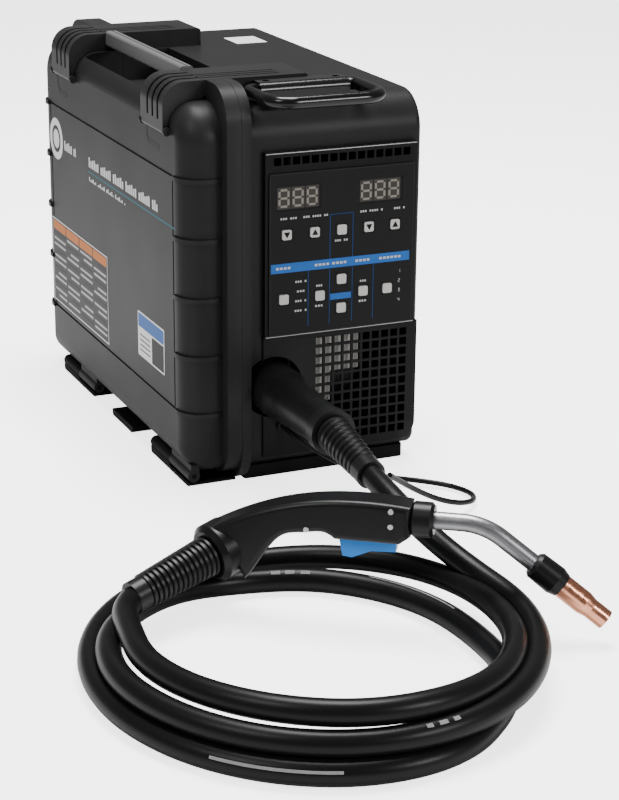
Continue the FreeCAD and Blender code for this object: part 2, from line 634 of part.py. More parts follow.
arm = fuse("arm_whole",
           box("arm_bar", ("arm_thick", "2 * roll_spread + 46", "18"),
               (ARM_X, "drive_y - roll_spread - 12", "gun_z + 10")),
           box("arm_bridge", ("arm_thick + 14", "14", "9"), (ARM_X, "drive_y - 7", "gun_z + 26")),
           box("arm_neck", ("arm_thick", "14", "14"), (ARM_X, "drive_y - 7", "gun_z + 20")),
           box("arm_heel", ("arm_thick", "16", "22"), (ARM_X, "drive_y + roll_spread + 18", "gun_z + 16")),
           rod("arm_pivot", "4", "24 + arm_thick + roll_width / 2",
               (ARM_X, "drive_y + roll_spread + 24", "gun_z + 30"), "x"))
keep("pressure_arm", cut("arm_bored", arm, *arm_bores))
KNOB_X = ARM_X + " + arm_thick + 8"
keep("tension_knob", fuse("knob_solid", rod("knob_cap", "9", "24", (KNOB_X, "drive_y", "gun_z + 36"), "z"),
                          rod("knob_stem", "3", "28", (KNOB_X, "drive_y", "gun_z + 14"), "z")))
guides = []
for name, start, length in (("middle_guide", "drive_y - 5", "10"), ("inlet_guide", "drive_y + 50", "34")):
    tube_body = rod(name + "_tube", "4", length, ("gun_x", start, "gun_z"), "y")
    guides.append(cut(name + "_drilled", tube_body,
                      rod(name + "_hole", "1.4", length, ("gun_x", start, "gun_z"), "y")))
keep("wire_guides", group("guide_group", *guides))
adapter = box("adapter_block", ("40", "34", "40"),
              ("gun_x - 20", "-body_length / 2 + wall + 0.5", "gun_z - 20"))
keep("gun_adapter", cut("adapter_bored", adapter, rod("adapter_bore", "pin_radius", "34",
                                                      ("gun_x", "-body_length / 2 + wall + 0.5", "gun_z"),
                                                      "y")))

keep("spool_spindle", fuse("spindle_solid",
                           rod("spindle_flange", "30", "6", ("bulkhead_x - 6", "spool_y", "spool_z"), "x"),
                           rod("spindle_rod", "spindle_radius", "hub_length + 8",
                               ("bulkhead_x - hub_length - 14", "spool_y", "spool_z"), "x"),
                           rod("spindle_cap", "20", "7",
                               ("bulkhead_x - 14 - hub_length", "spool_y", "spool_z"), "x")))
hub = fuse("hub_solid", rod("hub_barrel", "hub_radius", "hub_length",
                            ("bulkhead_x - 6.5 - hub_length", "spool_y", "spool_z"), "x"),
           rod("hub_flange", "48", "5", ("bulkhead_x - 11.5", "spool_y", "spool_z"), "x"),
           rod("hub_peg", "4.5", "20", ("bulkhead_x - 31", "spool_y + 36", "spool_z"), "x"))
keep("spool_hub", cut("hub_bored", hub, rod("hub_bore", "spindle_radius + running_gap", "hub_length",
                                            ("bulkhead_x - 6.5 - hub_length", "spool_y", "spool_z"), "x")))
INSIDE_X = "bulkhead_x + bulkhead_thick"
keep("weld_contactor", rounded_box("contactor_block", ("62", "70", "80"),
                                   (INSIDE_X, "150", "foot_height + wall + 60"), 5, 0))

# ---------------------------------------------------------------- rear connections
BACK = "(body_length / 2)"
rear_plate = rounded_box("rear_plate", ("rear_right - rear_left", "2 * sheet", "rear_high - rear_low"),
                         ("rear_left", BACK, "rear_low"), 10, 1)
keep("rear_panel", cut("rear_drilled", rear_plate,
                       rod("stud_hole", "stud_radius - 5", "10", ("10", BACK + " - 1", "120"), "y"),
                       rod("gas_hole", "gas_thread_radius - 1", "10", ("74", BACK + " - 1", "130"), "y")))
keep("weld_connector", cut("connector_bored", fuse("connector_solid",
     rod("connector_body", "stud_radius", "16", ("10", BACK + " + 2 * sheet", "120"), "y"),
     rod("connector_neck", "stud_radius - 5", "16", ("10", BACK + " - 12", "120"), "y")),
     rod("connector_socket", "stud_radius - 10", "16", ("10", BACK + " + 2 * sheet + 2", "120"), "y")))
keep("gas_valve", fuse("gas_solid", rod("gas_hex", "11", "5", ("74", BACK + " + 2 * sheet", "130"), "y"),
                       rod("gas_thread", "gas_thread_radius", "13",
                           ("74", BACK + " + 2 * sheet + 5", "130"), "y"),
                       rod("gas_neck", "gas_thread_radius - 1", "18", ("74", BACK + " - 14", "130"), "y"),
                       box("valve_block", ("28", "38", "30"), ("60", BACK + " - 52", "115")),
                       rod("valve_coil", "12", "34", ("74", BACK + " - 33", "145"), "z")))


# ---------------------------------------------------------------- welding gun and its cables
def lathe(profile, start, toward):
    """A solid of revolution: profile is (distance along the axis, radius) from start toward a point."""
    points = [Vector(profile[0][0], 0, 0)] + [Vector(at, radius, 0) for at, radius in profile]
    points += [Vector(profile[-1][0], 0, 0), Vector(profile[0][0], 0, 0)]
    solid = Part.Face(Part.makePolygon(points)).revolve(Vector(), Vector(1, 0, 0), 360)
    solid.Placement = Placement(start, Rotation(Vector(1, 0, 0), toward - start))
    return solid


def ribbed(length, first, last, rings, depth):
    """Profile of a tapered strain relief with rings."""
    step = length / rings
    profile = []
    for n in range(rings):
        radius = first + (last - first) * n / (rings - 1)
        profile += [(n * step, radius - depth), (n * step + 0.2 * step, radius),
                    (n * step + 0.65 * step, radius),
                    (n * step + 0.85 * step, radius - depth)]
    return profile + [(length, last - depth)]


def tube(points, radius, label):
    """A round tube along straight runs joined by the largest tangent arcs the runs allow."""
    edges = []
    start = points[0]
    radii = []
    length = 0.0
    for before, corner, after in zip(points, points[1:], points[2:]):
        into = corner - before
        out = after - corner
        shorter = min(into.Length, out.Length)
        turn = into.getAngle(out)
        trim = 0.45 * shorter
        arc_radius = trim / math.tan(turn / 2)
        radii.append(arc_radius)
        first = corner - Vector(into).normalize() * trim
        last = corner + Vector(out).normalize() * trim
        bisector = (Vector(out).normalize() - Vector(into).normalize()).normalize()
        middle = corner + bisector * (arc_radius / math.cos(turn / 2) - arc_radius)
        edges += [Part.LineSegment(start, first), Part.Arc(first, middle, last)]
        length += (first - start).Length + arc_radius * turn
        start = last
    edges.append(Part.LineSegment(start, points[-1]))
    length += (points[-1] - start).Length
    path = Part.Wire([edge.toShape() for edge in edges])
    ring = Part.Wire(Part.makeCircle(radius, points[0], points[1] - points[0]))
    solid = path.makePipeShell([ring], True, True)
    ideal = math.pi * radius ** 2 * length
    print("%s: length %.0f, arc radii %s, volume ratio %.4f"
          % (label, length, ", ".join("%.0f" % r for r in radii), solid.Volume / ideal))
    return solid


plug_face = Vector(val("gun_x"), val("panel_y") + 10, val("gun_z"))
plug_end = plug_face + Vector(0, -val("plug_length") - 18, 0)
plug_radius = val("plug_radius")
plug = lathe([(0, plug_radius), (44, plug_radius), (62, plug_radius - 2.5), (120, plug_radius - 6),
              (152, plug_radius - 6.5),
              (152, plug_radius - 4), (168, plug_radius - 4)], plug_face, plug_end)
pin_end = plug_face + Vector(0, val("pin_length"), 0)
keep_shape("gun_plug", plug.fuse(lathe([(0, val("pin_radius")),
                                        (val("pin_length") - 22, val("pin_radius"))], plug_face, pin_end)))
relief_end = Vector(-38, -512, 94)
keep_shape("plug_strain_relief", lathe(ribbed((relief_end - plug_end).Length - 18, 20, 16, 9, 2.2)
                                       + [((relief_end - plug_end).Length - 18, 15.5),
                                               ((relief_end - plug_end).Length, 15.5)],
                                       plug_end, relief_end))

LEAD_ROUTE = [relief_end, Vector(-38, -560, 87), Vector(-26, -610, 68), Vector(-4, -656, 47),
              Vector(8, -705, 36)]
keep_shape("cable_lead", tube(LEAD_ROUTE, val("cable_radius"), "cable_lead"))

gun_origin = Vector(-218, -558, 62)
rear_end = Vector(-320, -588, 40)


def coil_solid():
    """The outer shape of the wound cable, relieved under the end of the gun."""
    outer = Part.Ellipse(Vector(val("coil_x"), val("coil_y"), 0), val("coil_long"), val("coil_short"))
    outer.AngleXU = math.pi / 2
    inner = Part.Ellipse(Vector(val("coil_hole_x"), val("coil_hole_y"), 0), val("coil_hole_long"),
                         val("coil_hole_short"))
    inner.AngleXU = math.pi / 2
    faces = [Part.Face(Part.Wire(curve.toShape())) for curve in (outer, inner)]
    rise = Vector(0, 0, val("coil_height"))
    ring = faces[0].extrude(rise).cut(faces[1].extrude(rise))
    along_gun = gun_origin - rear_end
    room = Part.makeCylinder(val("collar_radius") + 4, along_gun.Length + 100, rear_end, along_gun)
    return ring.cut(room)


keep_shape("cable_coil", coil_solid())
TRIGGER_ROUTE = [Vector(-28, -262, 62), Vector(-20, -286, 53), Vector(4, -310, 38), Vector(34, -326, 22),
                 Vector(68, -334, 12),
                 Vector(102, -344, 7), Vector(130, -366, 5), Vector(142, -396, 5), Vector(130, -424, 8),
                 Vector(104, -438, 14), Vector(74, -446, 26), Vector(44, -456, 44), Vector(16, -470, 64),
                 Vector(-6, -489, 81)]
keep_shape("trigger_lead", tube(TRIGGER_ROUTE, val("lead_radius"), "trigger_lead"))
gun_frame = Placement(gun_origin, Rotation(Vector(0, 0, 1), val("gun_angle")))


def at_gun(along_gun, up):
    return Vector(along_gun, 0, up)


def handle_half(side):
    """One moulded half of the pistol handle, split along its middle plane."""
    top = Part.BSplineCurve()
    top.interpolate([at_gun(-6, 27), at_gun(24, 42), at_gun(76, 59), at_gun(124, 65), at_gun(184, 63)])
    belly = Part.BSplineCurve()
    belly.interpolate([at_gun(112, 25), at_gun(98, 31), at_gun(84, 29), at_gun(66, 26), at_gun(46, 6),
                       at_gun(26, -24)])
    lines = [Part.LineSegment(at_gun(184, 63), at_gun(184, 33)),
             Part.LineSegment(at_gun(184, 33), at_gun(174, 25)),
             Part.LineSegment(at_gun(174, 25), at_gun(112, 25)),
             Part.LineSegment(at_gun(26, -24), at_gun(-6, 27))]
    wire = Part.Wire([top.toShape(), lines[0].toShape(), lines[1].toShape(), lines[2].toShape(),
                      belly.toShape(), lines[3].toShape()])
    half = Part.Face(wire).extrude(Vector(0, side * val("handle_half"), 0))
    rim = [edge for edge in half.Edges if abs(edge.BoundBox.YMin - side * val("handle_half")) < 1e-6
           and abs(edge.BoundBox.YMax - side * val("handle_half")) < 1e-6]
    half = half.makeFillet(6, rim)
    slot = Part.makeBox(60, 13.2, 14, Vector(113.5, -6.6, 24))
    return half.cut(slot)


collar_axis = (gun_origin - rear_end).normalize()
collar = lathe([(0, 24), (5, val("collar_radius")), (24, val("collar_radius")), (34, 22)],
               gun_origin - collar_axis * 16, gun_origin + collar_axis * 20)
relief = lathe([(0, 15.5), (14, 15.5)] + [(at + 14, radius) for at, radius in
                                          ribbed((gun_origin - rear_end).Length - 30, 17, 20, 14, 2)],
               rear_end, gun_origin)
relief_seat = lathe([(0, 20.1), (60, 20.1)], gun_origin - collar_axis * 17, gun_origin)
for name, side in (("near", -1), ("far", 1)):
    half = handle_half(side)
    half.Placement = gun_frame
    side_space = Part.makeBox(400, 200, 400, Vector(-200, 0 if side > 0 else -200, -200))
    side_space.Placement = gun_frame
    keep_shape("handle_" + name, half.fuse(collar.common(side_space)).cut(relief_seat.common(
        Part.makeCylinder(20.1, 14, gun_origin - collar_axis * 17, collar_axis))).removeSplitter())
keep_shape("gun_strain_relief", relief.cut(Part.makeCylinder(40, 40, gun_origin - collar_axis * 3,
        collar_axis)))
nut = lathe([(0, 12), (0, 15), (2, val("nut_radius")), (18, val("nut_radius")), (21, 14)],
            at_gun(184.2, 47.5), at_gun(206, 47.5))
nut.Placement = gun_frame.multiply(nut.Placement)
keep_shape("neck_nut", nut)
neck_end = at_gun(299, 13)
neck = tube([at_gun(205.3, 47.5), at_gun(252, 47.6), neck_end], val("neck_radius"), "neck")
neck.Placement = gun_frame
keep_shape("gun_neck", neck)
neck_way = (neck_end - at_gun(252, 47.6)).normalize()


def on_gun(shape):
    shape.Placement = gun_frame.multiply(shape.Placement)
    return shape


keep_shape("neck_insulator", on_gun(lathe([(0, 11), (3, 13.5), (26, 14.2), (34, 12)], neck_end,
        neck_end + neck_way)))
nozzle_start = neck_end + neck_way * 34
nozzle = lathe([(0, 11.5), (26, 11.5), (34, 9.8), (52, 9.8)], nozzle_start, nozzle_start + neck_way)
nozzle_bore = lathe([(8, 7.8), (60, 7.8)], nozzle_start, nozzle_start + neck_way)
keep_shape("nozzle", on_gun(nozzle.cut(nozzle_bore)))
keep_shape("contact_tip", on_gun(lathe([(8, 6.5), (24, 6.5), (24, 4), (44, 3)], nozzle_start,
                                       nozzle_start + neck_way)))
trigger_wire = Part.makePolygon([at_gun(115, 25), at_gun(170, 25), at_gun(170, 14), at_gun(146, 13),
                                 at_gun(128, 5),
                                 at_gun(119, 6), at_gun(115, 25)])
trigger = Part.Face(trigger_wire).extrude(Vector(0, 12, 0))
trigger.translate(Vector(0, -6, 0))
keep_shape("gun_trigger", on_gun(trigger))
screws = [Part.makeCylinder(2.6, 3, Vector(x, -val("handle_half") - 1.2, z), Vector(0, 1, 0))
          for x, z in ((86, 34), (166, 44), (166, 59))]
keep_shape("handle_screws", on_gun(Part.makeCompound(screws)))

# ---------------------------------------------------------------- checks and export
doc.recompute()
for obj in doc.Objects:
    faults = [state for state in obj.State if state in ("Invalid", "Error")]
    if faults:
        raise RuntimeError("%s failed: %s" % (obj.Name, faults))
for node, obj in nodes:
    if obj.Shape.isNull() or not obj.Shape.isValid() or obj.Shape.Volume <= 0:
        raise RuntimeError(node + " has no sound shape")
if len(set(node for node, _ in nodes)) != len(nodes):
    raise RuntimeError("two sub-parts share a name")
os.makedirs("parts", exist_ok=True)
for node, obj in nodes:
    obj.Shape.exportStep(os.path.join("parts", node + ".step"))
print("%d sub-parts written" % len(nodes))
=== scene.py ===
"""Suitcase wire feeder with its welding gun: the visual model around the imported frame, in metres."""
import math
import bmesh
import bpy
from mathutils import Matrix, Vector


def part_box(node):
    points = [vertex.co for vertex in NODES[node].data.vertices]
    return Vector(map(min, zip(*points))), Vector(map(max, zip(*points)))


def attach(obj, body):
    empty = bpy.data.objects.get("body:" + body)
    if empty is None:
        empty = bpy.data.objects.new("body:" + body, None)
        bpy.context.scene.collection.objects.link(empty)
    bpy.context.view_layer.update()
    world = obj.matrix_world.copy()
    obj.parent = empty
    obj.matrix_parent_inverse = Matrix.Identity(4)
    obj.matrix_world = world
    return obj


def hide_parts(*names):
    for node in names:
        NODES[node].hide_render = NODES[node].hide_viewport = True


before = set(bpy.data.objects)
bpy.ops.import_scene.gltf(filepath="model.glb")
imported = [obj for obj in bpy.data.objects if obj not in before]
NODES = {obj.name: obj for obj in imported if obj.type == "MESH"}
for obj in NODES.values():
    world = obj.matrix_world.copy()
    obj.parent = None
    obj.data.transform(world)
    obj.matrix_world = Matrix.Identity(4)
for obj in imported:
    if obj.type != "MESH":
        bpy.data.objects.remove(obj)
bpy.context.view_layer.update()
MM = 0.001

# ---------------------------------------------------------------- camera
AZIMUTH, ELEVATION, ROLL = (math.radians(a) for a in (-23.946, 19.084, 0.555))
CAMERA_SPOT = (-0.89777, -2.29291, 0.85728)
LENS_LENGTH, SENSOR_WIDTH = 94.61, 36
back = Vector((math.sin(AZIMUTH) * math.cos(ELEVATION),
               -math.cos(AZIMUTH) * math.cos(ELEVATION),
               math.sin(ELEVATION)))
level_right = Vector((0, 0, 1)).cross(back).normalized()
level_up = back.cross(level_right)
right = level_right * math.cos(ROLL) + level_up * math.sin(ROLL)
up = level_up * math.cos(ROLL) - level_right * math.sin(ROLL)
camera_data = bpy.data.cameras.new("camera")
camera = bpy.data.objects.new("camera", camera_data)
bpy.context.scene.collection.objects.link(camera)
turn = Matrix((right, up, back)).transposed().to_4x4()
camera.matrix_world = Matrix.Translation(CAMERA_SPOT) @ turn
camera_data.lens = LENS_LENGTH
camera_data.sensor_width = SENSOR_WIDTH
camera_data.clip_end = 50
bpy.context.scene.camera = camera

# ---------------------------------------------------------------- materials
BLOTCH_SCALE = 9
STAIN_SCALE = 28
SCREEN_SCALE = 1400
LINE_HEIGHT = 0.00008
SCREEN_HEIGHT = 0.00004


def new_material(name):
    """A material with its node tree and its Principled shader."""
    material = bpy.data.materials.new(name)
    material.use_nodes = True
    tree = material.node_tree
    return material, tree, tree.nodes["Principled BSDF"]


def noise(tree, scale, detail, stretch=(1, 1, 1)):
    """A noise factor in object space, stretched along one axis for brushed looks."""
    coord = tree.nodes.new("ShaderNodeTexCoord")
    mapping = tree.nodes.new("ShaderNodeMapping")
    mapping.inputs["Scale"].default_value = stretch
    texture = tree.nodes.new("ShaderNodeTexNoise")
    texture.inputs["Scale"].default_value = scale
    texture.inputs["Detail"].default_value = detail
    tree.links.new(coord.outputs["Object"], mapping.inputs["Vector"])
    tree.links.new(mapping.outputs["Vector"], texture.inputs["Vector"])
    return texture.outputs["Fac"]


def span(tree, factor, low, high, to_low, to_high):
    """A factor moved from one range to another, held at its ends."""
    node = tree.nodes.new("ShaderNodeMapRange")
    for name, value in (("From Min", low), ("From Max", high), ("To Min", to_low), ("To Max", to_high)):
        node.inputs[name].default_value = value
    tree.links.new(factor, node.inputs["Value"])
    return node.outputs["Result"]


def blend_colours(tree, factor, first, second):
    """Mixes two colours, each a tuple or a socket, by a factor."""
    node = tree.nodes.new("ShaderNodeMix")
    node.data_type = "RGBA"
    tree.links.new(factor, node.inputs["Factor"])
    for key, colour in (("A", first), ("B", second)):
        socket = [s for s in node.inputs if s.name == key and s.type == "RGBA"][0]
        if isinstance(colour, bpy.types.NodeSocket):
            tree.links.new(colour, socket)
        else:
            socket.default_value = (*colour, 1)
    return [s for s in node.outputs if s.type == "RGBA"][0]


def scaled(colour, share, extra=0.0):
    """A colour made paler or darker, and never brighter than white."""
    return tuple(min(1, c * share + extra) for c in colour)


def bump(tree, shader, factor, strength, distance):
    """Raises a surface a little where a factor is high."""
    node = tree.nodes.new("ShaderNodeBump")
    node.inputs["Strength"].default_value = strength
    node.inputs["Distance"].default_value = distance
    tree.links.new(factor, node.inputs["Height"])
    tree.links.new(node.outputs["Normal"], shader.inputs["Normal"])


def edge_factor(tree, share):
    """A share where the surface has a sharp outer edge, and nothing where it is flat."""
    geometry = tree.nodes.new("ShaderNodeNewGeometry")
    edges = tree.nodes.new("ShaderNodeMath")
    edges.operation = "MULTIPLY"
    edges.inputs[1].default_value = share
    tree.links.new(span(tree, geometry.outputs["Pointiness"], 0.52, 0.62, 0, 1), edges.inputs[0])
    return edges.outputs[0]


def moulded(name, colour, roughness, grain, grain_height, wear, lift=1.35, specular=0.35):
    """Moulded plastic, paint or rubber: fine grain, soft blotches in colour and gloss, paler edges."""
    material, tree, shader = new_material(name)
    blotch = noise(tree, BLOTCH_SCALE, 4)
    grit = noise(tree, grain, 2)
    base = blend_colours(tree, span(tree, blotch, 0.35, 0.65, 0, 1), scaled(colour, 0.93), colour)
    base = blend_colours(tree, span(tree, grit, 0.55, 0.75, 0, 0.5), base, scaled(colour, lift))
    if wear:
        base = blend_colours(tree, edge_factor(tree, wear), base, scaled(colour, 2.2, 0.02))
    tree.links.new(base, shader.inputs["Base Color"])
    gloss = span(tree, blotch, 0.3, 0.7, roughness - 0.02, roughness + 0.03)
    tree.links.new(gloss, shader.inputs["Roughness"])
    shader.inputs["Specular IOR Level"].default_value = specular
    bump(tree, shader, grit, 0.35, grain_height)
    return material


def machined(name, colour, roughness=0.28, stretch=(1, 1, 14), scale=260, tarnish=None):
    """Bare metal with fine tool or brush lines and slight staining."""
    material, tree, shader = new_material(name)
    lines = noise(tree, scale, 3, stretch)
    stain = span(tree, noise(tree, STAIN_SCALE, 4), 0.42, 0.7, 0, 0.8)
    base = blend_colours(tree, stain, colour, tarnish or scaled(colour, 0.72))
    tree.links.new(base, shader.inputs["Base Color"])
    gloss = span(tree, lines, 0.3, 0.7, roughness - 0.07, roughness + 0.1)
    tree.links.new(gloss, shader.inputs["Roughness"])
    shader.inputs["Metallic"].default_value = 1.0
    bump(tree, shader, lines, 0.25, LINE_HEIGHT)
    return material


def printed(name, colour, roughness=0.4):
    """Ink or film: flat colour with a light screen texture."""
    material, tree, shader = new_material(name)
    dots = noise(tree, SCREEN_SCALE, 1)
    base = blend_colours(tree, span(tree, dots, 0.4, 0.6, 0, 1), colour, scaled(colour, 0.9))
    tree.links.new(base, shader.inputs["Base Color"])
    shader.inputs["Roughness"].default_value = roughness
    shader.inputs["Specular IOR Level"].default_value = 0.1
    bump(tree, shader, dots, 0.15, SCREEN_HEIGHT)
    return material


# name, colour, roughness, grain scale, grain height in metres, wear on the edges
CASE = moulded("case_plastic", (0.0150, 0.0146, 0.0146), 0.40, 700, 0.00014, 0.15, specular=0.10)
BASE = moulded("base_plastic", (0.004, 0.004, 0.004), 0.55, 600, 0.0002, 0.15, specular=0.05)
LATCH = moulded("latch_plastic", (0.0075, 0.0073, 0.0073), 0.34, 800, 0.0001, 0.35, specular=0.2)
GREY = moulded("handle_grey", (0.085, 0.085, 0.087), 0.45, 700, 0.00015, 0.2)
PAINT = moulded("bail_paint", (0.0032, 0.0032, 0.0033), 0.18, 220, 0.00005, 0.1, specular=0.3)
PANEL = moulded("panel_paint", (0.0042, 0.0042, 0.0044), 0.42, 1500, 0.0001, 0.3, specular=0.1)
FILM = moulded("overlay_film", (0.0090, 0.0090, 0.0094), 0.42, 2200, 0.00003, 0.0, specular=0.08)
LENS = moulded("display_lens", (0.004, 0.004, 0.004), 0.14, 300, 0.00001, 0.0, specular=0.12)
BUTTON = moulded("button_cap", (0.40, 0.39, 0.375), 0.45, 1500, 0.00004, 0.1, lift=1.1)
CABLE = moulded("cable_rubber", (0.0045, 0.0045, 0.0045), 0.34, 500, 0.00014, 0.0, specular=0.14)
GUN = moulded("gun_plastic", (0.0048, 0.0048, 0.0049), 0.32, 1400, 0.00016, 0.2, specular=0.2)
BLUE = moulded("trigger_blue", (0.010, 0.170, 0.62), 0.32, 1200, 0.00006, 0.2, lift=1.15, specular=0.25)
MOTOR = moulded("motor_paint", (0.008, 0.008, 0.009), 0.35, 500, 0.0001, 0.3, specular=0.15)
BOARD = moulded("board_green", (0.008, 0.07, 0.03), 0.35, 400, 0.00005, 0.2)
TRAY = moulded("tray_grey", (0.34, 0.33, 0.31), 0.5, 900, 0.00008, 0.2, lift=1.1)
# name, colour, roughness, stretch of the tool lines and their scale
STEEL = machined("steel", (0.56, 0.57, 0.59))
NECK = machined("neck_metal", (0.30, 0.30, 0.31), 0.34, (10, 10, 1), 120)
COPPER = machined("copper", (0.80, 0.36, 0.22), 0.17, (3, 3, 3), 60, tarnish=(0.66, 0.27, 0.155))
BRASS = machined("brass", (0.80, 0.60, 0.28), 0.26, (1, 14, 1), 200)
CAST = machined("cast_metal", (0.45, 0.46, 0.48), 0.42, (1, 1, 1), 420)
# name, colour, roughness
INK_BLUE = printed("ink_blue", (0.020, 0.110, 0.38))
INK_LINE = printed("ink_line", (0.008, 0.045, 0.16))
INK_CYAN = printed("ink_cyan", (0.004, 0.120, 0.17))
INK_WHITE = printed("ink_white", (0.78, 0.78, 0.78))
INK_TEXT = printed("ink_text", (0.46, 0.46, 0.46))
INK_BLACK = printed("ink_black", (0.004, 0.004, 0.004))
INK_GREY = printed("ink_grey", (0.020, 0.020, 0.020))
INK_ORANGE = printed("ink_orange", (0.56, 0.150, 0.004))
# the pale dashes and long stripes on the gun cable
MARK = printed("cable_mark", (0.42, 0.42, 0.43), 0.5)
DIGIT = printed("digit_segment", (0.21, 0.19, 0.165), 0.3)
DIGIT_BACK = printed("digit_back", (0.040, 0.036, 0.032), 0.3)

BUTTONS = [node for node in NODES if node.startswith("button_")]
LOOKS = {
    CASE: "main_shell door_shell",
    BASE: "hinge_arms skid_rails hinge_pins bulkhead",
    LATCH: "latch_front latch_rear",
    GREY: "carry_handle",
    PAINT: "bail_handle bail_bracket bracket_bolts",
    PANEL: "control_panel grille_panel rear_panel",
    FILM: "control_overlay",
    LENS: "displays",
    CABLE: "cable_coil cable_lead trigger_lead",
    BLUE: "gun_trigger",
    BOARD: "circuit_board",
    GUN: "gun_plug plug_strain_relief gun_strain_relief handle_near handle_far neck_nut neck_insulator "
         "tension_knob spool_hub",
    MOTOR: "drive_motor weld_contactor",
    NECK: "gun_neck",
    COPPER: "nozzle contact_tip",
    CAST: "drive_casting",
    TRAY: "meter_tray",
    BRASS: "gas_valve gun_adapter weld_connector wire_guides",
    STEEL: "handle_screws pressure_arm spool_spindle drive_roll_front drive_roll_rear "
           "pressure_roll_front pressure_roll_rear",
    BUTTON: " ".join(BUTTONS),
}
for look, names in LOOKS.items():
    for node in names.split():
        for cell in NODES[node].material_slots:
            cell.material = look

# ---------------------------------------------------------------- flat shapes, in millimetres
CORNER_STEPS = 4
ROUND_STEPS = 40


def block(u0, v0, u1, v1):
    """An upright rectangle between its lower left and upper right corners."""
    return [(u0, v0), (u1, v0), (u1, v1), (u0, v1)]


def rounded(u0, v0, u1, v1, radius):
    """A rectangle with rounded corners."""
    points = []
    for cu, cv, start in ((u1 - radius, v0 + radius, -90), (u1 - radius, v1 - radius, 0),
                          (u0 + radius, v1 - radius, 90), (u0 + radius, v0 + radius, 180)):
        for n in range(CORNER_STEPS + 1):
            a = math.radians(start + 90 * n / CORNER_STEPS)
            points.append((cu + radius * math.cos(a), cv + radius * math.sin(a)))
    return points


def bar(u0, v0, u1, v1, width):
    """A straight stroke from one point to another."""
    du, dv = u1 - u0, v1 - v0
    size = math.hypot(du, dv)
    nu, nv = -dv / size * width / 2, du / size * width / 2
    return [(u0 - nu, v0 - nv), (u1 - nu, v1 - nv), (u1 + nu, v1 + nv), (u0 + nu, v0 + nv)]


def outline(u0, v0, u1, v1, width):
    """The four sides of a frame inside its outer corners."""
    return [block(u0, v0, u1, v0 + width),
            block(u0, v1 - width, u1, v1),
            block(u0, v0 + width, u0 + width, v1 - width),
            block(u1 - width, v0 + width, u1, v1 - width)]


def circle(u, v, radius):
    """Points round a circle, with the first one again at the end."""
    turns = [math.tau * n / ROUND_STEPS for n in range(ROUND_STEPS + 1)]
    return [(u + radius * math.cos(a), v + radius * math.sin(a)) for a in turns]


def ring(u, v, outer, inner):
    """A flat ring, as a list of shapes."""
    far, near = circle(u, v, outer), circle(u, v, inner)
    return [[far[n], far[n + 1], near[n + 1], near[n]] for n in range(ROUND_STEPS)]


# ---------------------------------------------------------------- pieces made of mesh
PLANES = {
    "front": (lambda u, v, at: (u, at, v), (0, -1, 0)),
    "left": (lambda u, v, at: (at, u, v), (-1, 0, 0)),
    "top": (lambda u, v, at: (u, v, at), (0, 0, 1)),
}


def finish_piece(name, mesh, material, body, smooth=False):
    """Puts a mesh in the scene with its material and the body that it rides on."""
    obj = bpy.data.objects.new(name, mesh)
    bpy.context.scene.collection.objects.link(obj)
    mesh.materials.append(material)
    for face in mesh.polygons:
        face.use_smooth = smooth
    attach(obj, body)


def prints(name, shapes, plane, at, thick, material, body):
    """Flat shapes standing a little proud of a face of the object: ink, film, labels and lenses, and painted
    highlights and painted shade.
    """
    to_space, way = PLANES[plane]
    outward = Vector(way) * thick * MM
    bm = bmesh.new()
    for shape in shapes:
        low = [bm.verts.new(Vector(to_space(u, v, at)) * MM) for u, v in shape]
        high = [bm.verts.new(vert.co + outward) for vert in low]
        bm.faces.new(high)
        bm.faces.new(list(reversed(low)))
        for n in range(len(low)):
            m = (n + 1) % len(low)
            bm.faces.new((low[n], low[m], high[m], high[n]))
    bmesh.ops.recalc_face_normals(bm, faces=bm.faces)
    mesh = bpy.data.meshes.new(name)
    bm.to_mesh(mesh)
    bm.free()
    finish_piece(name, mesh, material, body)


# ---------------------------------------------------------------- cables
CABLE_DIAMETER = 0.024
LEAD_DIAMETER = 0.006
LEAD_ROUTE = [(-38, -512, 94), (-38, -560, 87), (-26, -610, 68), (-4, -656, 47)]
GUN_END = [(-335, -606, 40), (-318, -588, 40)]
# turn angle in degrees, inward offset and height of the cable's middle, in millimetres
STRAND = [(0, 0, 36), (45, 4, 35), (90, 10, 33), (180, 10, 33), (225, 30, 24), (270, 46, 12),
          (315, 50, 12), (360, 48, 12), (405, 24, 12), (450, 0, 12), (540, 0, 12), (630, 0, 12),
          (675, 14, 26), (720, 24, 36), (765, 24, 44), (810, 22, 54), (855, 27, 54), (900, 34, 47),
          (930, 42, 42)]
COIL_START, COIL_END, COIL_STEP = 6, 932, 24
COIL_CENTRE = (-189, -712)
COIL_HALF = (202, 220)
# the cable runs a little inside its route's points, so the coil's points stand further out by this factor
OUTSET = 1 / math.cos(math.radians(COIL_STEP / 2)) ** 0.7


def strand_at(angle):
    """Inward offset and height of the cable at a turn angle, eased from one row to the next."""
    for (a0, d0, z0), (a1, d1, z1) in zip(STRAND, STRAND[1:]):
        if angle <= a1:
            t = (angle - a0) / (a1 - a0)
            t = t * t * (3 - 2 * t)
            return d0 + (d1 - d0) * t, z0 + (z1 - z0) * t
    return STRAND[-1][1:]


def coil_points():
    """The route of the coil, whose turns lie on the floor and on each other."""
    points = []
    for angle in range(COIL_START, COIL_END + 1, COIL_STEP):
        inward, high = strand_at(angle)
        a = math.radians(angle)
        points.append((COIL_CENTRE[0] + (COIL_HALF[0] * OUTSET - inward) * math.cos(a),
                       COIL_CENTRE[1] - (COIL_HALF[1] * OUTSET - inward) * math.sin(a), high))
    return points


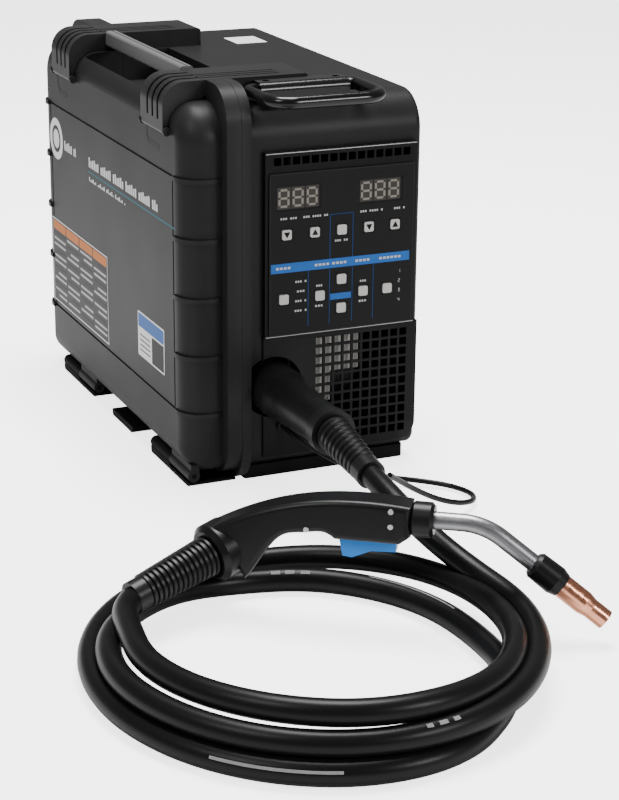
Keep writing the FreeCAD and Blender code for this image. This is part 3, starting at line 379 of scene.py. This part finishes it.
def cable(name, route, diameter, body, nodes):
    """A round cable along a smooth line near its route's points, in place of CAD nodes."""
    data = bpy.data.curves.new(name, "CURVE")
    data.dimensions = "3D"
    data.bevel_depth = diameter / 2
    data.bevel_resolution = 8
    data.use_fill_caps = True
    data.resolution_u = 10
    spline = data.splines.new("NURBS")
    spline.points.add(len(route) - 1)
    for point, spot in zip(spline.points, route):
        point.co = (spot[0] * MM, spot[1] * MM, spot[2] * MM, 1)
    spline.order_u = 3
    spline.use_endpoint_u = True
    obj = bpy.data.objects.new(name, data)
    bpy.context.scene.collection.objects.link(obj)
    data.materials.append(CABLE)
    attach(obj, body)
    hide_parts(*nodes)
    return obj


def centreline(obj):
    """Points along a cable's own line, in metres."""
    data = obj.data.copy()
    data.bevel_depth = 0
    bare = bpy.data.objects.new("bare_line", data)
    bpy.context.scene.collection.objects.link(bare)
    bpy.context.view_layer.update()
    mesh = bpy.data.meshes.new_from_object(bare.evaluated_get(bpy.context.evaluated_depsgraph_get()))
    points = [v.co.copy() for v in mesh.vertices]
    bpy.data.objects.remove(bare)
    bpy.data.curves.remove(data)
    bpy.data.meshes.remove(mesh)
    return points


MAIN_ROUTE = LEAD_ROUTE + coil_points() + GUN_END
gun_cable = cable("gun_cable", MAIN_ROUTE, CABLE_DIAMETER, "case", ("cable_coil", "cable_lead"))
GUN_LINE = centreline(gun_cable)

# marks on the gun cable, three rows of three printed dashes and three long pale stripes: start and end along
# it in metres, angle round it in degrees with 90 at the top, and half the mark's width in metres
MARKS = [(1.165, 1.176, 62, 0.0022), (1.180, 1.191, 62, 0.0022), (1.195, 1.206, 62, 0.0022),
         (0.498, 0.507, 118, 0.0020), (0.511, 0.520, 118, 0.0020), (0.524, 0.533, 118, 0.0020),
         (1.01, 1.085, 62, 0.0026), (1.265, 1.375, 88, 0.0010), (1.755, 1.865, 152, 0.0013)]
MARK_LIFT = 0.00012
# the thickness that was meant: these new faces have no normals yet, so solidify lays its second
# layer in the same place as the first, and the marks come out with no thickness
MARK_THICK = 0.0001


def stripe_on(bm, line, start, end, angle, half_width):
    """A pale patch on the cable's surface between two lengths along it."""
    radius = CABLE_DIAMETER / 2 + MARK_LIFT
    travelled = 0.0
    rows = []
    for first, second in zip(line, line[1:]):
        step = (second - first).length
        along = (second - first).normalized()
        inward = along.cross(Vector((0, 0, 1))).normalized()
        top = inward.cross(along)
        for part in (0.0, 0.25, 0.5, 0.75):
            if start <= travelled + step * part <= end:
                middle = first.lerp(second, part)
                row = []
                for side in (-1, -0.33, 0.33, 1):
                    a = math.radians(angle) + side * half_width / radius
                    row.append(bm.verts.new(middle + (inward * math.cos(a) + top * math.sin(a)) * radius))
                rows.append(row)
        travelled += step
    for low, high in zip(rows, rows[1:]):
        for n in range(3):
            bm.faces.new((low[n], low[n + 1], high[n + 1], high[n]))


marks_bm = bmesh.new()
for mark in MARKS:
    stripe_on(marks_bm, GUN_LINE, *mark)
bmesh.ops.solidify(marks_bm, geom=marks_bm.faces[:], thickness=MARK_THICK)
marks_mesh = bpy.data.meshes.new("cable_marks")
marks_bm.to_mesh(marks_mesh)
marks_bm.free()
finish_piece("cable_marks", marks_mesh, MARK, "case", smooth=True)

TRIGGER_ROUTE = [(-28, -262, 62), (-20, -286, 53), (4, -310, 38), (34, -326, 22), (68, -334, 12),
                 (102, -344, 7), (130, -366, 5), (142, -396, 5), (130, -424, 8), (104, -438, 14),
                 (74, -446, 26), (44, -456, 44), (16, -470, 64), (-6, -489, 81)]
trigger_cable = cable("trigger_cable", TRIGGER_ROUTE, LEAD_DIAMETER, "case", ("trigger_lead",))
TRIGGER_LINE = centreline(trigger_cable)

# ---------------------------------------------------------------- control panel print, and painted highlights on its ledges
INK = 0.12
THIN_LINE = 0.7
FRAME_GAP = 2.2


def front_of(node):
    """How far forward a node reaches, in millimetres."""
    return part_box(node)[0][1] / MM


def limits_of(node):
    """A node's left, lowest, right and highest limits as seen from the front, in millimetres."""
    low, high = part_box(node)
    return low[0] / MM, low[2] / MM, high[0] / MM, high[2] / MM


FILM_FACE = front_of("control_overlay")
PANEL_FACE = front_of("control_panel")
DISPLAY_FACE = front_of("displays")
BUTTON_FACE = front_of("button_speed_up")


def film_print(name, shapes, material, thick=INK):
    """Ink on the control film."""
    prints(name, shapes, "front", FILM_FACE, thick, material, "case")


# a band across the film, upright lines under it at its columns, and a box above its middle column
BAND_LOW, BAND_HIGH = 239.5, 250
OUTER_LINES, MIDDLE_LINES = (0.4, 79), (26, 53.4)
LINE_FOOT, LINE_HEAD, BOX_HEAD = 176, 240, 300
film_print("panel_bands", [block(-44, BAND_LOW, 123, BAND_HIGH), block(27, 203, 52, 210)], INK_BLUE)
lines = [bar(x, LINE_FOOT, x, LINE_HEAD, THIN_LINE) for x in OUTER_LINES + MIDDLE_LINES]
lines += [bar(x, BAND_HIGH, x, BOX_HEAD, THIN_LINE) for x in MIDDLE_LINES]
lines.append(bar(MIDDLE_LINES[0], BOX_HEAD, MIDDLE_LINES[1], BOX_HEAD, THIN_LINE))
film_print("panel_lines", lines, INK_LINE)

ARROW_SIZE = 3.7


def arrow(x, z, way):
    """A triangle about a point: way is 1 for one that points up and -1 for down."""
    base, tip = z - way * ARROW_SIZE * 0.8, z + way * ARROW_SIZE
    return [(x - ARROW_SIZE, base), (x + ARROW_SIZE, base), (x, tip)]


for control, way in (("voltage_down", -1), ("voltage_up", 1), ("speed_down", -1), ("speed_up", 1)):
    button = "button_" + control
    x0, z0, x1, z1 = limits_of(button)
    prints("arrow_" + control, [arrow((x0 + x1) / 2, (z0 + z1) / 2, way)], "front", BUTTON_FACE, INK,
           INK_BLACK, button)
frames = []
for button in BUTTONS:
    x0, z0, x1, z1 = limits_of(button)
    frames += outline(x0 - FRAME_GAP, z0 - FRAME_GAP, x1 + FRAME_GAP, z1 + FRAME_GAP, THIN_LINE)
film_print("button_frames", frames, INK_BLACK)

# plain strokes where the panel carries captions: middle and width of each row
CAPTIONS = [(-23, 300, 20), (9, 300, 30), (76, 300, 28), (110, 300, 14), (40, 270, 16),
            (-8, 228, 14), (-8, 217, 10), (-8, 206, 14), (-8, 195, 15),
            (14, 221, 8), (14, 198, 10), (67, 221, 8), (67, 198, 10)]
CAPTION_PITCH, CAPTION_HEIGHT = 2.6, 2.2
# a stroke fills this share of its pitch, here and in the title on the door
STROKE_SHARE = 0.62


def caption(x, z, wide):
    """A row of small upright strokes that stands for a caption, with no letters in it."""
    count = max(2, int(wide / CAPTION_PITCH))
    step = wide / count
    left, half = x - wide / 2, CAPTION_HEIGHT / 2
    return [block(left + n * step, z - half, left + (n + STROKE_SHARE) * step, z + half)
            for n in range(count) if n % 5 != 3]


# the ends of a number's seven strokes, as shares of its width and height
SEGMENTS = {"a": (0, 1, 1, 1), "b": (1, 0.5, 1, 1), "c": (1, 0, 1, 0.5), "d": (0, 0, 1, 0),
            "e": (0, 0, 0, 0.5), "f": (0, 0.5, 0, 1), "g": (0, 0.5, 1, 0.5)}
NUMERALS = {"1": "bc", "2": "abged", "3": "abgcd", "4": "fgbc", "8": "abcdefg"}


def numeral(key, x, z, wide, tall, stroke):
    """A seven-stroke number with its lower left corner at a place."""
    gap = stroke * 0.55
    shapes = []
    for segment in NUMERALS[key]:
        u0, v0, u1, v1 = SEGMENTS[segment]
        du = gap if u0 != u1 else 0
        dv = gap if v0 != v1 else 0
        shapes.append(bar(x + u0 * wide + du, z + v0 * tall + dv,
                          x + u1 * wide - du, z + v1 * tall - dv, stroke))
    return shapes


# dashes along the band: left end of each row and its count
BAND_DASHES = [(-38, 4), (8, 4), (29, 4), (57, 4), (86, 6)]
DASH_PITCH, DASH_WIDTH, DASH_LOW, DASH_HIGH = 4.6, 3.2, 243.4, 246
NUMBERS_LEFT, NUMBERS_TOP, NUMBERS_PITCH = 110, 226, 11
dashes = []
for x, z, wide in CAPTIONS:
    dashes += caption(x, z, wide)
for n, key in enumerate("1234"):
    dashes += numeral(key, NUMBERS_LEFT, NUMBERS_TOP - NUMBERS_PITCH * n, 1.9, 3.6, 0.6)
for x0, count in BAND_DASHES:
    for n in range(count):
        left = x0 + DASH_PITCH * n
        dashes.append(block(left, DASH_LOW, left + DASH_WIDTH, DASH_HIGH))
film_print("panel_captions", dashes, INK_TEXT, INK + 0.06)

DIGIT_WIDTH, DIGIT_HEIGHT, DIGIT_PITCH, DIGIT_STROKE = 10.4, 18, 16.6, 2.4
BACK_SIDE, BACK_RISE = 2.6, 3
DIGITS_LOW = 313.5
digits, digit_backs = [], []
for first in (-34, 64):
    for n in range(3):
        left = first + DIGIT_PITCH * n
        digits += numeral("8", left, DIGITS_LOW, DIGIT_WIDTH, DIGIT_HEIGHT, DIGIT_STROKE)
        digit_backs.append(block(left - BACK_SIDE, DIGITS_LOW - BACK_RISE,
                                 left + DIGIT_WIDTH + BACK_SIDE, DIGITS_LOW + DIGIT_HEIGHT + BACK_RISE))
prints("display_backs", digit_backs, "front", DISPLAY_FACE, 0.05, DIGIT_BACK, "case")
prints("display_digits", digits, "front", DISPLAY_FACE, 0.1, DIGIT, "case")

EDGE_GAP, EDGE_WIDTH = 0.5, 0.8
x0, z0, x1, z1 = limits_of("control_overlay")
edge = outline(x0 + EDGE_GAP, z0 + EDGE_GAP, x1 - EDGE_GAP, z1 - EDGE_GAP, EDGE_WIDTH)
film_print("panel_edge", edge, INK_GREY)
# pale lines painted as highlights where the panel's top ledge and its lower edge catch the light
ledge_highlights = [bar(-49, z, 130.5, z, EDGE_WIDTH) for z in (371.6, 167)]
prints("panel_ledge_highlight", ledge_highlights, "front", PANEL_FACE, INK, INK_TEXT, "case")

# ---------------------------------------------------------------- labels on the door and the top, and painted shade in the door's grooves
DOOR_FACE = -140.0
SHELL_TOP = 425
LABEL, LABEL_INK = 0.2, 0.3


def door_print(name, shapes, thick, material):
    """Ink, a label or painted shade on the door's outside."""
    prints(name, shapes, "left", DOOR_FACE, thick, material, "door")


DISC_SPOT = (199, 305)
door_print("side_stripe", [bar(-226, 290, 73, 290, 1.6)], INK, INK_CYAN)
door_print("side_disc", [circle(*DISC_SPOT, 26)[:-1]], INK, INK_WHITE)
door_print("side_disc_ring", ring(*DISC_SPOT, 17, 12), LABEL, INK_BLACK)

# rows of uneven strokes that stand for a title: first and last place, lower and upper edge, pitch
TITLE_ROWS = [(166, 122, 297, 309, 5.2), (70, -170, 296, 308, 6.4), (70, -60, 279, 284, 4.6)]
title = []
for first, last, low, high, pitch in TITLE_ROWS:
    for n in range(math.ceil((first - last) / pitch)):
        if n % 7 != 6:
            y = first - n * pitch
            title.append(block(y - pitch * STROKE_SHARE, low, y, high - (n * 5 % 3) * 1.6))
door_print("side_title", title, INK, INK_WHITE)

# black strokes painted as the shade in the grooves beside the latches
GROOVES = [[(-138, 396), (-139, 376), (-144, 371), (-179, 370)],
           [(192, 396), (183, 372), (178, 368), (150, 368)]]
groove_shade_strokes = [bar(*start, *end, 6) for path in GROOVES for start, end in zip(path, path[1:])]
door_print("side_groove_shade", groove_shade_strokes, 0.15, INK_BLACK)

# a chart with a head and twelve rows in each column
CHART = (8, 91, 226, 200)
COLUMN_COUNT, COLUMN_PITCH, COLUMN_WIDTH, SHORT_WIDTH = 4, 53, 50, 36
ROW_COUNT, ROW_PITCH, ROW_HEIGHT = 12, 7.4, 2.8
door_print("chart_base", [rounded(*CHART, 3)], LABEL, INK_GREY)
door_print("chart_rim", outline(*CHART, 1.4), 0.25, INK_WHITE)
heads, rows_pale, rows_dark = [], [], []
for c in range(COLUMN_COUNT):
    y = 12 + c * COLUMN_PITCH
    heads.append(block(y, 186, y + COLUMN_WIDTH, 197))
    for r in range(ROW_COUNT):
        z = 183 - r * ROW_PITCH
        wide = COLUMN_WIDTH if (r * 3 + c) % 4 else SHORT_WIDTH
        rows = rows_pale if (r + c) % 3 else rows_dark
        rows.append(block(y + 2, z - ROW_HEIGHT, y + wide - 2, z))
door_print("chart_heads", heads, LABEL_INK, INK_ORANGE)
door_print("chart_rows", rows_pale, LABEL_INK, INK_TEXT)
door_print("chart_bars", rows_dark, LABEL_INK, INK_BLACK)

door_print("tag_base", [rounded(-187, 112, -99, 165, 2)], LABEL, INK_WHITE)
door_print("tag_band", [block(-185, 147, -101, 163)], LABEL_INK, INK_BLUE)
door_print("tag_dark", [block(-185, 114, -146, 145)], LABEL_INK, INK_BLACK)
door_print("tag_rows", [bar(-140, z, -106, z, 1.6) for z in (120, 126, 132, 138)], LABEL_INK, INK_GREY)

prints("top_tag", [rounded(67, 108, 107, 155, 1.5)], "top", SHELL_TOP, LABEL, INK_WHITE,
       "case")

# ---------------------------------------------------------------- stage and light
FLOOR_HALF = 12
FLOOR_GLOW = 2.8
WORLD_LIGHT = 0.24


def seen_strength(tree, socket, unseen, seen):
    """One strength for what the eye sees straight on, and another for the light that falls on the object."""
    path = tree.nodes.new("ShaderNodeLightPath")
    tree.links.new(span(tree, path.outputs["Is Camera Ray"], 0, 1, unseen, seen), socket)


corners = [(-FLOOR_HALF, -FLOOR_HALF, 0), (FLOOR_HALF, -FLOOR_HALF, 0),
           (FLOOR_HALF, FLOOR_HALF, 0), (-FLOOR_HALF, FLOOR_HALF, 0)]
floor_mesh = bpy.data.meshes.new("floor")
floor_mesh.from_pydata(corners, [], [(0, 1, 2, 3)])
floor = bpy.data.objects.new("floor", floor_mesh)
bpy.context.scene.collection.objects.link(floor)
floor_look, floor_tree, floor_shader = new_material("floor")
floor_shader.inputs["Base Color"].default_value = (0.96, 0.96, 0.96, 1)
floor_shader.inputs["Roughness"].default_value = 0.7
floor_shader.inputs["Emission Color"].default_value = (1, 1, 1, 1)
floor_shader.inputs["Specular IOR Level"].default_value = 0.1
# the floor is as white as a light table to the eye, and doesn't light the object from below
seen_strength(floor_tree, floor_shader.inputs["Emission Strength"], 0, FLOOR_GLOW)
floor_mesh.materials.append(floor_look)

# the backdrop is as white, while the object is lit by a dimmer world
world = bpy.data.worlds.new("studio")
bpy.context.scene.world = world
world.use_nodes = True
backdrop = world.node_tree.nodes["Background"]
backdrop.inputs["Color"].default_value = (1, 1, 1, 1)
seen_strength(world.node_tree, backdrop.inputs["Strength"], WORLD_LIGHT, FLOOR_GLOW)


def area_light(name, spot, target, size, power):
    """A square light, with its side in metres, that faces a target."""
    data = bpy.data.lights.new(name, "AREA")
    data.shape = "SQUARE"
    data.size = size
    data.energy = power
    obj = bpy.data.objects.new(name, data)
    bpy.context.scene.collection.objects.link(obj)
    obj.location = spot
    obj.rotation_euler = (Vector(target) - Vector(spot)).to_track_quat("-Z", "Y").to_euler()


area_light("key_light", (-2.2, -1.2, 2.6), (0, -0.2, 0.2), 1.0, 38)
area_light("top_light", (0.2, 0.2, 3.0), (0, -0.2, 0), 1.5, 180)
area_light("front_light", (1.2, -3.0, 1.4), (0, -0.3, 0.2), 0.7, 44)
